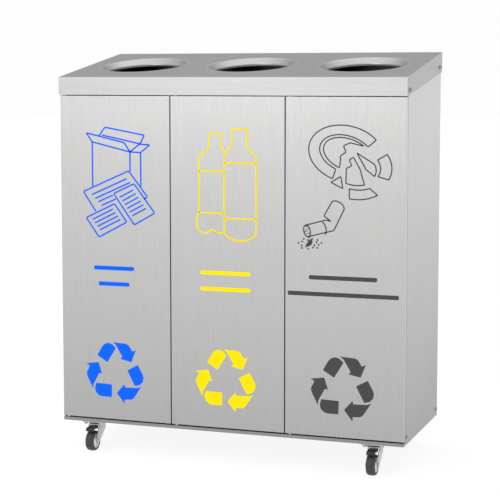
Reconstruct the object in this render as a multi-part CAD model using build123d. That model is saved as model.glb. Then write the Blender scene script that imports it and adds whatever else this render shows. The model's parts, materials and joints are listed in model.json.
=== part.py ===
from build123d import *
import os
from math import atan2, cos, degrees, pi, radians, sin, sqrt, tan

# Three-compartment waste sorting station on swivel casters, folded from stainless sheet.
# The frame stands on the floor: +X to the right, +Y to the back, +Z up, lengths in millimetres.
# The origin is on the floor, below the centre of the cabinet. The doors face -Y.

# ---- Cabinet ----
cabinet_width = 870.0
cabinet_depth = 362.0  # door faces to rear face
cabinet_height = 853.0  # underside of the base tray to the lid's front top edge
casing_sheet = 1.2
base_sheet = 2.0
bend_radius = 2.0  # middle line of a folded sheet
nest_gap = 0.3  # between sheets that nest in each other
rear_flange = 20.0  # side panels, folded in behind the rear panel
rear_top_flange = 20.0
tray_flange = 28.0
base_lip = 8.0  # front strip below the doors
tray_flange_setback = 7.0  # side flanges, clear of the swinging doors
rivet_radius = 2.0
rivet_head_radius = 4.0
rivet_head_height = 1.4
rivet_rows = 5
rivet_end_distance = 60.0

# ---- Lid ----
lid_rise = 62.0
lid_flange = 43.0
lid_rear_flange = 51.0
lid_sheet = 1.2
lid_overhang_side = 2.0
lid_overhang_depth = 4.0
lid_corner_cut = 8.0
chute_mouth_radius = 110.0
chute_throat_radius = 93.0
chute_depth = 13.0
chute_lip = 5.0
chute_roll_radius = 6.0
chute_lead = 1.0  # middle of the cabinet's depth to the chute centres, towards the doors
chute_inset = 4.0  # outer chutes, moved towards the middle one

# ---- Doors ----
door_count = 3
door_gap = 2.0  # between doors
door_head_gap = 1.5
door_foot_gap = 2.5
door_sheet = 1.2
door_depth = 14.0
door_edge_radius = 1.6
door_lip = 15.0
door_back_gap = 2.0  # behind the doors, to the side panels and dividers
pivot_inset = 12.0  # hinge edge to the pivot
pivot_setback = 5.0  # door face to the pivot
pivot_radius = 2.5
pivot_reach = 7.0  # pin inside the door
pivot_head_radius = 3.4
pivot_head_height = 1.5
bush_wall = 1.0
bush_length = 8.0
bush_flange = 1.0
bush_flange_radius = 4.4
running_gap = 0.05  # radial, all turning fits
face_gap = 0.3  # between faces that turn past each other
divider_flange = 12.0
header_leg = 36.0
header_back_leg = 20.0
header_depth = 40.0
header_lead = 1.5  # the rail's front leg stands this far in front of the door faces
stiffener_sheet = 1.0
stiffener_flange = 14.0
stiffener_web = 30.0
stiffener_height = 9.0
stiffener_taper = 4.0
stiffener_end_gap = 30.0
strike_width = 40.0
strike_height = 24.0
strike_sheet = 1.5
strike_inset = 20.0  # free edge to the strike bracket
catch_depth = 15.0
catch_height = 18.0
catch_gap = 0.4

# ---- Inner bins ----
bin_height = 740.0
bin_end_gap = 20.65  # rim to the casing, front and rear
bin_sheet = 1.0
bin_rim = 6.0
bin_rim_drop = 8.0
bin_corner_radius = 14.0
bin_foot = 6.0  # the floor stands this high over the tray
bin_slide_gap = 3.0

# ---- Screws ----
lid_screw_radius = 2.5
lid_screw_head_radius = 6.0
lid_screw_head_height = 3.2
lid_screw_drop = 34.0  # below the lid's sloping top edge
lid_screw_end_distance = 26.0
lid_screw_length = 9.0
base_screw_radius = 2.0
base_screw_head_radius = 5.0
base_screw_head_height = 2.2
base_screw_height = 17.0
base_screw_end_distance = 14.0
base_screw_length = 8.0
recess_width = 1.8
recess_depth = 1.4

# ---- Casters ----
caster_inset = 76.0  # cabinet side to the kingpin
caster_setback = 32.0  # cabinet front or rear to the kingpin
caster_trail = 25.0
caster_plate_size = 58.0
caster_plate_sheet = 2.5
caster_plate_corner = 6.0
caster_bolt_spacing = 42.0
caster_bolt_radius = 3.0
caster_bolt_head_radius = 5.5
caster_bolt_head_height = 2.2
caster_nut_flats = 10.0
caster_nut_height = 5.0
race_radius = 20.0
race_height = 2.2
ball_radius = 1.4
ball_circle_radius = 14.5
ball_count = 14
kingpin_radius = 4.0
kingpin_head_radius = 7.0
kingpin_head_height = 2.4
fork_sheet = 2.0
fork_side_gap = 1.7  # wheel to each leg
fork_head_gap = 13.8  # wheel to the crown
fork_crown_radius = 21.0
fork_crown_height = 2.4
fork_foot_radius = 7.0
fork_front = 19.0  # kingpin to the legs' front top corner
fork_back = 19.0
wheel_radius = 25.0
wheel_width = 22.0
tyre_wall = 7.5
tyre_edge_radius = 6.0
core_web = 8.0
hub_radius = 7.5
hub_side_gap = 0.6
axle_radius = 3.0
axle_head_radius = 5.0
axle_head_height = 1.8
bolt_end = 1.5
brake_side_gap = 2.2
brake_pivot_setback = 13.0  # axle to the brake's pivot
brake_pivot_rise = 7.2  # wheel to the brake's pivot
brake_front = 19.0  # axle to the pedal's front face
brake_top_rise = 10.6
brake_toe_rise = 1.5
brake_plate = 3.0
brake_boss_radius = 3.6
brake_pin_radius = 2.0
brake_pin_head_radius = 3.6
brake_pin_head_height = 1.6

# ---- Worked out ----
fork_inner_width = wheel_width + 2 * fork_side_gap
crown_bottom_z = 2 * wheel_radius + fork_head_gap
crown_top_z = crown_bottom_z + fork_crown_height
race_bottom_z = crown_top_z + face_gap + 2 * ball_radius
plate_bottom_z = race_bottom_z + race_height
caster_height = plate_bottom_z + caster_plate_sheet
brake_width = fork_inner_width - 2 * brake_side_gap
brake_pivot_forward = caster_trail - brake_pivot_setback  # kingpin to the brake's pivot
brake_pivot_height = 2 * wheel_radius + brake_pivot_rise
brake_reach = caster_trail + brake_front
brake_top = 2 * wheel_radius + brake_top_rise
brake_toe = 2 * wheel_radius + brake_toe_rise
bay_pitch = cabinet_width / door_count
front_y = -cabinet_depth / 2
rear_y = cabinet_depth / 2
base_z = caster_height
tray_floor_z = base_z + base_sheet
casing_front_y = front_y + door_depth + door_back_gap
inner_half_width = cabinet_width / 2 - casing_sheet - nest_gap
rear_inner_y = rear_y - 2 * casing_sheet - nest_gap
lid_front_y = front_y - lid_overhang_depth
lid_rear_y = rear_y + lid_overhang_depth
lid_front_z = base_z + cabinet_height
lid_slope = degrees(atan2(lid_rise, lid_rear_y - lid_front_y))
lid_drop = lid_sheet / cos(radians(lid_slope))
lid_half_width = cabinet_width / 2 + lid_overhang_side
lid_top = Plane(
    origin=(0, lid_front_y, lid_front_z),
    x_dir=(1, 0, 0),
    z_dir=(0, -sin(radians(lid_slope)), cos(radians(lid_slope))),
)
door_bottom_z = base_z + base_lip + door_foot_gap
door_top_z = lid_front_z - lid_flange - door_head_gap
door_height = door_top_z - door_bottom_z
pivot_y = front_y + pivot_setback
header_z = door_top_z + door_head_gap
clear_left = door_gap / 2 + pivot_inset + door_depth - pivot_setback
clear_right = bay_pitch - divider_flange
bin_width = clear_right - clear_left - 2 * bin_slide_gap  # over the rim
bin_depth = rear_inner_y - base_sheet - casing_front_y - 2 * bin_end_gap  # over the rim
bin_offset = (clear_left + clear_right) / 2 - bay_pitch / 2
bin_y = (casing_front_y + rear_inner_y - base_sheet) / 2
bin_floor_z = tray_floor_z + bin_foot
caster_x = cabinet_width / 2 - caster_inset
caster_y = cabinet_depth / 2 - caster_setback
fork_half_width = fork_inner_width / 2 + fork_sheet
core_radius = wheel_radius - tyre_wall
bush_radius = pivot_radius + running_gap + bush_wall
casters = {
    "front_left": (-caster_x, -caster_y, 0),
    "front_right": (caster_x, -caster_y, 0),
    "rear_left": (-caster_x, caster_y, 180),
    "rear_right": (caster_x, caster_y, 180),
}
braked = ("front_left", "front_right")
door_names = ("left", "middle", "right")
side_signs = {"left": -1, "right": 1}


def lid_z(y):
    """Height of the lid's top face at a depth."""
    return lid_front_z + (y - lid_front_y) * tan(radians(lid_slope))


def span(x0, x1, y0, y1, z0, z1):
    """Box between two corners."""
    centre = Pos((x0 + x1) / 2, (y0 + y1) / 2, (z0 + z1) / 2)
    return centre * Box(x1 - x0, y1 - y0, z1 - z0)


def rod(radius, start, end):
    """Round bar between two points on a line along X, Y or Z."""
    axis = Vector(*end) - Vector(*start)
    plane = Plane(origin=start, z_dir=axis)
    return extrude(plane * Circle(radius), axis.length)


def folded(points, sheet, radius):
    """Section of a folded sheet whose middle line runs through the points."""
    line = FilletPolyline(*points, radius=radius)
    return trace(line, line_width=sheet)


def pan_screw(shank, head, head_height, length):
    """Pan-head screw along +X, its head's seat at the origin and a cross recess in the head."""
    body = rod(shank, (-length, 0, 0), (0, 0, 0))
    dome = rod(head, (0, 0, 0), (head_height, 0, 0))
    rim = dome.faces().sort_by(Axis.X)[-1].edges()
    dome = fillet(rim, head_height * 0.6)
    slot = Pos(head_height, 0, 0) * Box(2 * recess_depth, head * 1.1, recess_width)
    return body + dome - slot - Rot(90, 0, 0) * slot


# ---- Casing ----
def base_tray():
    """Tray floor with flanges inside the casing and a full-width lip along the front."""
    half = inner_half_width
    outer = cabinet_width / 2
    top = base_z + tray_flange
    tray = span(-half, half, casing_front_y, rear_inner_y, base_z, tray_floor_z)
    for sign in side_signs.values():
        inside = sign * (half - base_sheet)
        x0, x1 = sorted((inside, sign * half))
        tray += span(x0, x1, casing_front_y + tray_flange_setback, rear_inner_y, base_z, top)
    tray += span(-half, half, rear_inner_y - base_sheet, rear_inner_y, base_z, top)
    strip = span(-outer, outer, front_y, casing_front_y - nest_gap, base_z, base_z + base_lip)
    corners = strip.edges().filter_by(Axis.Z).group_by(Axis.Y)[0]
    strip = fillet(corners, bend_radius)
    well = span(-outer + base_sheet, outer - base_sheet, front_y + base_sheet, casing_front_y,
                tray_floor_z, base_z + base_lip)
    tray += strip - well
    tray += span(-half, half, front_y + base_sheet, casing_front_y, base_z, tray_floor_z)
    for x, y in caster_bolt_places():
        tray -= Pos(x, y, 0) * rod(caster_bolt_radius + running_gap, (0, 0, base_z), (0, 0, tray_floor_z))
    for x in caster_kingpin_places():
        tray -= Pos(*x, 0) * rod(kingpin_head_radius + nest_gap, (0, 0, base_z), (0, 0, tray_floor_z))
    for y in base_screw_depths():
        tray -= rod(base_screw_radius + running_gap, (-outer, y, base_z + base_screw_height),
                    (outer, y, base_z + base_screw_height))
    for index in range(door_count):
        foot = (pivot_x(index), pivot_y)
        tray -= rod(pivot_radius + running_gap, (*foot, base_z), (*foot, tray_floor_z))
    return tray


def right_side_panel():
    """Side sheet, folded in behind the rear panel and cut to the lid's slope."""
    x = cabinet_width / 2 - casing_sheet / 2
    y = rear_y - casing_sheet / 2
    section = folded([(x, casing_front_y), (x, y), (x - rear_flange, y)], casing_sheet, bend_radius)
    panel = extrude(Pos(0, 0, base_z) * section, lid_z(rear_y) - base_z)
    panel = split(panel, bisect_by=lid_top.offset(-lid_sheet), keep=Keep.BOTTOM)
    outer = cabinet_width / 2
    for depth in lid_screw_depths():
        z = lid_screw_z(depth)
        panel -= rod(lid_screw_radius + running_gap, (outer - casing_sheet, depth, z), (outer, depth, z))
    for depth in base_screw_depths():
        z = base_z + base_screw_height
        panel -= rod(base_screw_radius + running_gap, (outer - casing_sheet, depth, z), (outer, depth, z))
    for z in rivet_heights():
        x = rivet_x()
        panel -= rod(rivet_radius + running_gap, (x, rear_y - casing_sheet, z), (x, rear_y, z))
    return panel


def rear_panel():
    """Rear sheet between the side panels' flanges, folded forward under the lid."""
    y = rear_y - 1.5 * casing_sheet
    top = lid_z(y - rear_top_flange) - lid_drop - casing_sheet
    section = folded([(y, base_z), (y, top), (y - rear_top_flange, top)], casing_sheet, bend_radius)
    half = inner_half_width - bend_radius + casing_sheet / 2
    panel = extrude(Plane.YZ * section, half, both=True)
    for sign in side_signs.values():
        for z in rivet_heights():
            x = sign * rivet_x()
            panel -= rod(rivet_radius + running_gap, (x, y - casing_sheet, z), (x, y + casing_sheet, z))
    return panel


def divider(index):
    """Partition between two bays, its front edge folded towards the left bay."""
    x = -cabinet_width / 2 + index * bay_pitch
    y = casing_front_y + casing_sheet / 2
    rear = rear_inner_y - base_sheet - nest_gap
    section = folded([(x - divider_flange, y), (x, y), (x, rear)], casing_sheet, bend_radius)
    return extrude(Pos(0, 0, tray_floor_z) * section, header_z - tray_floor_z)


def header_rail():
    """Channel over the doors that holds the upper pivots and the catches."""
    front = front_y - header_lead + casing_sheet / 2
    back = front + header_depth
    bottom = header_z + casing_sheet / 2
    points = [(front, bottom + header_leg), (front, bottom), (back, bottom), (back, bottom + header_back_leg)]
    rail = extrude(Plane.YZ * folded(points, casing_sheet, bend_radius), inner_half_width, both=True)
    for index in range(door_count):
        place = (pivot_x(index), pivot_y)
        rail -= rod(pivot_radius + running_gap, (*place, header_z), (*place, header_z + casing_sheet))
    return rail


# ---- Lid ----
def chute_centre(index):
    """Centre of a chute's mouth on the lid's top face."""
    middle = (door_count - 1) / 2
    side = (index > middle) - (index < middle)
    x = bay_centre(index) - side * chute_inset
    return x, -chute_lead, lid_z(-chute_lead)


def chute_plane(index):
    """Plane in the lid's top face, centred on a chute."""
    return Plane(origin=chute_centre(index), x_dir=lid_top.x_dir, z_dir=lid_top.z_dir)


def chute_collar(index):
    """Spun collar welded into the lid: rolls over the mouth, tapers in and ends in a short lip."""
    inner = chute_throat_radius + chute_roll_radius * 0.3
    points = [
        (chute_mouth_radius + chute_roll_radius, -lid_sheet / 2),
        (chute_mouth_radius - chute_roll_radius * 0.4, -lid_sheet / 2),
        (chute_throat_radius + lid_sheet / 2, -chute_depth),
        (chute_throat_radius + lid_sheet / 2, -chute_depth - chute_lip),
    ]
    line = FilletPolyline(*points, radius=[chute_roll_radius, inner - chute_throat_radius + lid_sheet])
    section = Plane.XZ * trace(line, line_width=lid_sheet)
    return chute_plane(index).location * revolve(section, Axis.Z, 360)


def lid():
    """Sloping folded lid with flanges all round and a round hole for each chute."""
    width = 2 * lid_half_width
    outline = [
        (lid_front_y, lid_front_z - lid_flange),
        (lid_front_y, lid_front_z),
        (lid_rear_y, lid_z(lid_rear_y)),
        (lid_rear_y, lid_z(lid_rear_y) - lid_rear_flange + lid_corner_cut),
        (lid_rear_y - lid_corner_cut, lid_z(lid_rear_y) - lid_rear_flange),
    ]
    shell = extrude(Plane.YZ * make_face(Polyline(*outline, close=True)), width / 2, both=True)
    top_face = shell.faces().sort_by(Axis.Z)[-1]
    shell = fillet(top_face.edges(), bend_radius - casing_sheet / 2)
    front = lid_front_y + lid_sheet
    rear = lid_rear_y - lid_sheet
    hollow = [
        (front, base_z),
        (front, lid_z(front) - lid_drop),
        (rear, lid_z(rear) - lid_drop),
        (rear, base_z),
    ]
    void = make_face(Polyline(*hollow, close=True))
    shell -= extrude(Plane.YZ * void, width / 2 - lid_sheet, both=True)
    for index in range(door_count):
        plane = chute_plane(index)
        shell -= extrude(plane * Circle(chute_mouth_radius + chute_roll_radius), 2 * lid_sheet, both=True)
    for sign in side_signs.values():
        for depth in lid_screw_depths():
            z = lid_screw_z(depth)
            x0, x1 = sorted((sign * (lid_half_width - lid_sheet), sign * lid_half_width))
            shell -= rod(lid_screw_radius + running_gap, (x0, depth, z), (x1, depth, z))
    return shell


# ---- Doors ----
def bay_centre(index):
    """Middle of a bay across the cabinet."""
    return -cabinet_width / 2 + (index + 0.5) * bay_pitch


def door_edges(index):
    """Left and right edge of a door."""
    left = -cabinet_width / 2 + index * bay_pitch
    right = left + bay_pitch
    if index > 0:
        left += door_gap / 2
    if index < door_count - 1:
        right -= door_gap / 2
    return left, right


def pivot_x(index):
    """Pivot line of a door across the cabinet."""
    return door_edges(index)[0] + pivot_inset


def door_panel(index):
    """Door pan: a face sheet with returns all round and a lip down each side."""
    left, right = door_edges(index)
    back = front_y + door_depth
    pan = span(left, right, front_y, back, door_bottom_z, door_top_z)
    pan = fillet(pan.faces().sort_by(Axis.Y)[0].edges(), door_edge_radius)
    pan -= span(left + door_sheet, right - door_sheet, front_y + door_sheet, back,
                door_bottom_z + door_sheet, door_top_z - door_sheet)
    for x0, x1 in ((left + door_sheet, left + door_lip), (right - door_lip, right - door_sheet)):
        pan += span(x0, x1, back - door_sheet, back, door_bottom_z + door_sheet, door_top_z - door_sheet)
    place = (pivot_x(index), pivot_y)
    pan -= rod(bush_radius, (*place, door_bottom_z), (*place, door_bottom_z + door_sheet))
    pan -= rod(bush_radius, (*place, door_top_z - door_sheet), (*place, door_top_z))
    return pan


def door_bushes(index):
    """Flanged bushes in the door's top and bottom returns."""
    place = Pos(pivot_x(index), pivot_y, 0)
    bushes = []
    for z, up in ((door_bottom_z, 1), (door_top_z, -1)):
        bush = rod(bush_radius, (0, 0, z), (0, 0, z + up * bush_length))
        bush += rod(bush_flange_radius, (0, 0, z - up * bush_flange), (0, 0, z))
        bush -= rod(pivot_radius + running_gap, (0, 0, z - up * bush_flange), (0, 0, z + up * bush_length))
        bushes.append(place * bush)
    return bushes


def door_stiffener(index):
    """Hat section down the middle of a door, against the face sheet."""
    left, right = door_edges(index)
    x = (left + right) / 2
    low = front_y + door_sheet + stiffener_sheet / 2
    high = low + stiffener_height
    web = stiffener_web / 2
    foot = web + stiffener_taper
    edge = foot + stiffener_flange
    points = [(x - edge, low), (x - foot, low), (x - web, high)]
    points += [(2 * x - across, depth) for across, depth in reversed(points)]
    section = folded(points, stiffener_sheet, bend_radius)
    foot = Pos(0, 0, door_bottom_z + stiffener_end_gap)
    return extrude(foot * section, door_height - 2 * stiffener_end_gap)


def door_strike(index):
    """Angle under the door's top return that meets the magnet."""
    right = door_edges(index)[1] - strike_inset
    back = front_y + door_depth
    top = door_top_z - door_sheet
    strike = span(right - strike_width, right, back - strike_sheet, back, top - strike_height, top)
    return strike + span(right - strike_width, right, front_y + door_depth / 2, back, top - strike_sheet, top)


def magnet_catches():
    """Magnet housings that hang from the header rail, one for each door."""
    catches = []
    for index in range(door_count):
        right = door_edges(index)[1] - strike_inset
        front = front_y + door_depth + catch_gap
        left = right - strike_width
        housing = span(left, right, front, front + catch_depth, header_z - catch_height, header_z)
        catches.append(fillet(housing.edges().filter_by(Axis.Z), 2))
    return catches


def upper_pivots():
    """Pins riveted through the header rail."""
    pins = []
    for index in range(door_count):
        place = Pos(pivot_x(index), pivot_y, 0)
        seat = header_z + casing_sheet
        pin = rod(pivot_radius, (0, 0, door_top_z - pivot_reach), (0, 0, seat))
        head = rod(pivot_head_radius, (0, 0, seat), (0, 0, seat + pivot_head_height))
        pins.append(place * (pin + head))
    return pins


def lower_pivots():
    """Shouldered pins riveted into the base tray, which carry the doors."""
    pins = []
    shoulder = pivot_setback - base_sheet - nest_gap
    for index in range(door_count):
        place = Pos(pivot_x(index), pivot_y, 0)
        pin = rod(pivot_radius, (0, 0, base_z), (0, 0, door_bottom_z + pivot_reach))
        collar = rod(shoulder, (0, 0, tray_floor_z), (0, 0, door_bottom_z - bush_flange - face_gap))
        pins.append(place * (pin + collar))
    return pins


# ---- Inner bins ----
def inner_bin(index):
    """Loose inner bin with a turned-out rim and a foot skirt round its floor."""
    place = Pos(bay_centre(index) + bin_offset, bin_y, 0)
    width = bin_width - 2 * bin_rim
    depth = bin_depth - 2 * bin_rim
    top = tray_floor_z + bin_height
    radius = bin_corner_radius

    def ring(inset, low, high):
        outline = RectangleRounded(width - 2 * inset, depth - 2 * inset, radius - inset)
        return extrude(Pos(0, 0, low) * outline, high - low)

    body = ring(0, tray_floor_z, top) - ring(bin_sheet, bin_floor_z, top)
    body -= ring(bin_sheet, tray_floor_z, bin_floor_z - bin_sheet)
    rim = ring(-bin_rim, top - bin_rim_drop, top)
    rim -= ring(bin_sheet - bin_rim, top - bin_rim_drop, top - bin_sheet)
    rim -= ring(bin_sheet, top - bin_rim_drop, top)
    return place * (body + rim)


# ---- Screws and rivets ----
def lid_screw_depths():
    """Depths of the lid's side screws."""
    return lid_front_y + lid_screw_end_distance, lid_rear_y - lid_screw_end_distance


def lid_screw_z(depth):
    """Height of a lid screw, in line with the lid's slope."""
    return lid_z(depth) - lid_screw_drop


def base_screw_depths():
    """Depths of the screws between the side panels and the base tray."""
    return casing_front_y + base_screw_end_distance, rear_y - base_screw_end_distance


def lid_screws():
    """Pan-head screws through the lid's side flanges into the side panels."""
    screws = []
    for depth in lid_screw_depths():
        head = (lid_screw_head_radius, lid_screw_head_height)
        screw = pan_screw(lid_screw_radius, *head, lid_screw_length)
        screw = Pos(lid_half_width, depth, lid_screw_z(depth)) * screw
        screws += [screw, mirror(screw, about=Plane.YZ)]
    return screws


def base_screws():
    """Pan-head screws through the side panels into the base tray's flanges."""
    screws = []
    for depth in base_screw_depths():
        head = (base_screw_head_radius, base_screw_head_height)
        screw = pan_screw(base_screw_radius, *head, base_screw_length)
        screw = Pos(cabinet_width / 2, depth, base_z + base_screw_height) * screw
        screws += [screw, mirror(screw, about=Plane.YZ)]
    return screws


def rivet_x():
    """Rivet line in the side panels' rear flanges."""
    return cabinet_width / 2 - rear_flange / 2


def rivet_heights():
    """Heights of the rear rivets, evenly spaced."""
    low = base_z + rivet_end_distance
    high = lid_z(rear_y) - lid_rear_flange - rivet_end_distance
    return [low + (high - low) * row / (rivet_rows - 1) for row in range(rivet_rows)]


def rear_rivets():
    """Blind rivets that join the rear panel to the side panels."""
    rivets = []
    inside = rear_y - 2 * casing_sheet
    for sign in side_signs.values():
        for z in rivet_heights():
            head = rod(rivet_head_radius, (0, rear_y, 0), (0, rear_y + rivet_head_height, 0))
            head = fillet(head.faces().sort_by(Axis.Y)[-1].edges(), rivet_head_height * 0.6)
            shank = rod(rivet_radius, (0, inside, 0), (0, rear_y, 0))
            tail = rod(rivet_radius * 1.5, (0, inside - rivet_radius, 0), (0, inside, 0))
            rivets.append(Pos(sign * rivet_x(), 0, z) * (head + shank + tail))
    return rivets


# ---- Casters ----
def caster_bolt_places():
    """Centres of all the bolts that hold the caster plates."""
    half = caster_bolt_spacing / 2
    places = []
    for x, y, _ in casters.values():
        places += [(x + i * half, y + j * half) for i in (-1, 1) for j in (-1, 1)]
    return places


def caster_kingpin_places():
    """Centres of the kingpins."""
    return [(x, y) for x, y, _ in casters.values()]


def caster_location(name):
    """Where a caster stands: its kingpin line on the floor, turned about it."""
    x, y, turn = casters[name]
    return Pos(x, y, 0) * Rot(0, 0, turn)


def caster_plate(name):
    """Top plate with its bearing race."""
    outline = RectangleRounded(caster_plate_size, caster_plate_size, caster_plate_corner)
    plate = extrude(Pos(0, 0, plate_bottom_z) * outline, caster_plate_sheet)
    race = rod(race_radius, (0, 0, race_bottom_z), (0, 0, plate_bottom_z))
    plate += fillet(race.faces().sort_by(Axis.Z)[0].edges(), race_height * 0.4)
    plate -= rod(kingpin_radius + running_gap, (0, 0, race_bottom_z), (0, 0, caster_height))
    half = caster_bolt_spacing / 2
    for i in (-1, 1):
        for j in (-1, 1):
            hole = rod(caster_bolt_radius + running_gap, (0, 0, plate_bottom_z), (0, 0, caster_height))
            plate -= Pos(i * half, j * half, 0) * hole
    return caster_location(name) * plate


def caster_bolts():
    """Low-headed bolts, heads inside the tray."""
    bolts = []
    tip = plate_bottom_z - caster_nut_height - bolt_end
    for x, y in caster_bolt_places():
        bolt = rod(caster_bolt_radius, (0, 0, tip), (0, 0, tray_floor_z))
        head_top = tray_floor_z + caster_bolt_head_height
        head = rod(caster_bolt_head_radius, (0, 0, tray_floor_z), (0, 0, head_top))
        head = fillet(head.faces().sort_by(Axis.Z)[-1].edges(), caster_bolt_head_height * 0.5)
        bolts.append(Pos(x, y, 0) * (bolt + head))
    return bolts


def hex_nut(flats, height, bore):
    """Hexagon nut standing on the XY plane."""
    corner = flats / sqrt(3)
    nut = extrude(RegularPolygon(corner, 6), height)
    return nut - rod(bore, (0, 0, 0), (0, 0, height))


def caster_nuts():
    """Nuts below the caster plates."""
    nuts = []
    for x, y in caster_bolt_places():
        nut = hex_nut(caster_nut_flats, caster_nut_height, caster_bolt_radius + running_gap)
        nuts.append(Pos(x, y, plate_bottom_z - caster_nut_height) * nut)
    return nuts


def kingpins():
    """Kingpins riveted into the plates; the forks turn on them."""
    pins = []
    foot = crown_bottom_z - face_gap
    for x, y in caster_kingpin_places():
        pin = rod(kingpin_radius, (0, 0, foot), (0, 0, caster_height))
        pin += rod(kingpin_head_radius, (0, 0, foot - kingpin_head_height), (0, 0, foot))
        pin += rod(kingpin_head_radius, (0, 0, caster_height), (0, 0, tray_floor_z))
        pins.append(Pos(x, y, 0) * pin)
    return pins


def bearing_balls():
    """Balls between each plate's race and its fork's crown."""
    balls = []
    for x, y in caster_kingpin_places():
        for step in range(ball_count):
            angle = 2 * pi * step / ball_count
            centre = Pos(x + ball_circle_radius * cos(angle), y + ball_circle_radius * sin(angle),
                         race_bottom_z - ball_radius)
            balls.append(centre * Sphere(ball_radius))
    return balls


def caster_fork(name):
    """Pressed fork: round crown, and two legs that rake forward to the axle."""
    crown = rod(fork_crown_radius, (0, 0, crown_bottom_z), (0, 0, crown_top_z))
    crown = fillet(crown.faces().sort_by(Axis.Z)[-1].edges(), fork_crown_height * 0.5)
    top = crown_bottom_z
    block = (2 * fork_foot_radius, 2 * fork_foot_radius)
    leg = make_hull(
        (
            Pos(-caster_trail, wheel_radius) * Circle(fork_foot_radius)
            + Pos(-fork_front + fork_foot_radius, top - fork_foot_radius) * Rectangle(*block)
            + Pos(fork_back - fork_foot_radius, top - fork_foot_radius) * Rectangle(*block)
        ).edges()
    )
    fork = crown
    inner = fork_inner_width / 2
    for sign in (-1, 1):
        side = Pos(sign * (inner + fork_sheet / 2), 0, 0) * extrude(Plane.YZ * leg, fork_sheet / 2, both=True)
        fork += side
    deck = span(-inner, inner, -fork_front, fork_back, top - fork_sheet, top)
    fork += deck
    fork -= rod(kingpin_radius + running_gap, (0, 0, top - fork_sheet), (0, 0, crown_top_z))
    fork -= rod(kingpin_head_radius + 1, (0, 0, top - fork_sheet), (0, 0, top))
    fork -= rod(axle_radius + running_gap, (-fork_half_width, -caster_trail, wheel_radius),
                (fork_half_width, -caster_trail, wheel_radius))
    if name in braked:
        pivot = (-brake_pivot_forward, brake_pivot_height)
        fork -= rod(brake_pin_radius + running_gap, (-fork_half_width, *pivot), (fork_half_width, *pivot))
    return caster_location(name) * fork


def caster_axle(name):
    """Axle rivet with a domed head outside each leg."""
    axle = rod(axle_radius, (-fork_half_width, 0, 0), (fork_half_width, 0, 0))
    for sign in (-1, 1):
        x = sign * fork_half_width
        head = rod(axle_head_radius, (x, 0, 0), (x + sign * axle_head_height, 0, 0))
        rim = head.faces().sort_by(Axis.X)[-1 if sign > 0 else 0].edges()
        axle += fillet(rim, axle_head_height * 0.7)
    return caster_location(name) * Pos(0, -caster_trail, wheel_radius) * axle


def caster_tyre(name):
    """Round-shouldered tyre."""
    half = wheel_width / 2
    tyre = rod(wheel_radius, (-half, 0, 0), (half, 0, 0))
    tyre = fillet(tyre.edges(), tyre_edge_radius)
    tyre -= rod(core_radius, (-half, 0, 0), (half, 0, 0))
    return caster_location(name) * Pos(0, -caster_trail, wheel_radius) * tyre


def wheel_core(name):
    """Wheel core: rim band, thin web and hub."""
    half = wheel_width / 2 - 1
    hub = fork_inner_width / 2 - hub_side_gap
    core = rod(core_radius, (-half, 0, 0), (half, 0, 0))
    for sign in (-1, 1):
        dish = rod(core_radius - 2, (sign * core_web / 2, 0, 0), (sign * half, 0, 0))
        core -= dish
    core += rod(hub_radius, (-hub, 0, 0), (hub, 0, 0))
    core -= rod(axle_radius + running_gap, (-hub, 0, 0), (hub, 0, 0))
    return caster_location(name) * Pos(0, -caster_trail, wheel_radius) * core


def brake_pedal(name):
    """Toe pedal between the fork's legs, over the front of the wheel."""
    half = brake_width / 2
    outline = [
        (-brake_pivot_forward, brake_pivot_height - brake_boss_radius),
        (-brake_reach + brake_plate + 4, brake_top - brake_plate - 2),
        (-brake_reach + brake_plate, brake_toe),
        (-brake_reach, brake_toe),
        (-brake_reach + 2, brake_top - 1.5),
        (-brake_reach + 6, brake_top),
        (-brake_pivot_forward, brake_pivot_height + brake_boss_radius - 0.6),
    ]
    pedal = extrude(Plane.YZ * make_face(Polyline(*outline, close=True)), half, both=True)
    pivot = (-brake_pivot_forward, brake_pivot_height)
    pedal += rod(brake_boss_radius, (-half, *pivot), (half, *pivot))
    pedal -= rod(brake_pin_radius + running_gap, (-half, *pivot), (half, *pivot))
    return caster_location(name) * pedal


def brake_pin(name):
    """Rivet through both legs that the pedal turns on."""
    pivot = (-brake_pivot_forward, brake_pivot_height)
    pin = rod(brake_pin_radius, (-fork_half_width, *pivot), (fork_half_width, *pivot))
    for sign in (-1, 1):
        x = sign * fork_half_width
        pin += rod(brake_pin_head_radius, (x, *pivot), (x + sign * brake_pin_head_height, *pivot))
    return caster_location(name) * pin


# ---- Assembly ----
nodes = {
    "base_tray": base_tray(),
    "right_side_panel": right_side_panel(),
    "left_side_panel": mirror(right_side_panel(), about=Plane.YZ),
    "rear_panel": rear_panel(),
    "left_divider": divider(1),
    "right_divider": divider(2),
    "header_rail": header_rail(),
    "lid": lid(),
    "lid_screws": lid_screws(),
    "base_screws": base_screws(),
    "rear_rivets": rear_rivets(),
    "upper_pivots": upper_pivots(),
    "lower_pivots": lower_pivots(),
    "magnet_catches": magnet_catches(),
    "caster_bolts": caster_bolts(),
    "caster_nuts": caster_nuts(),
    "caster_kingpins": kingpins(),
    "caster_balls": bearing_balls(),
}
for number, door in enumerate(door_names):
    nodes[door + "_door"] = door_panel(number)
    nodes[door + "_door_bushes"] = door_bushes(number)
    nodes[door + "_door_stiffener"] = door_stiffener(number)
    nodes[door + "_door_strike"] = door_strike(number)
    nodes[door + "_inner_bin"] = inner_bin(number)
    nodes[door + "_chute_collar"] = chute_collar(number)
for caster in casters:
    nodes[caster + "_caster_plate"] = caster_plate(caster)
    nodes[caster + "_fork"] = caster_fork(caster)
    nodes[caster + "_axle"] = caster_axle(caster)
    nodes[caster + "_tyre"] = caster_tyre(caster)
    nodes[caster + "_wheel_core"] = wheel_core(caster)
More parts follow.
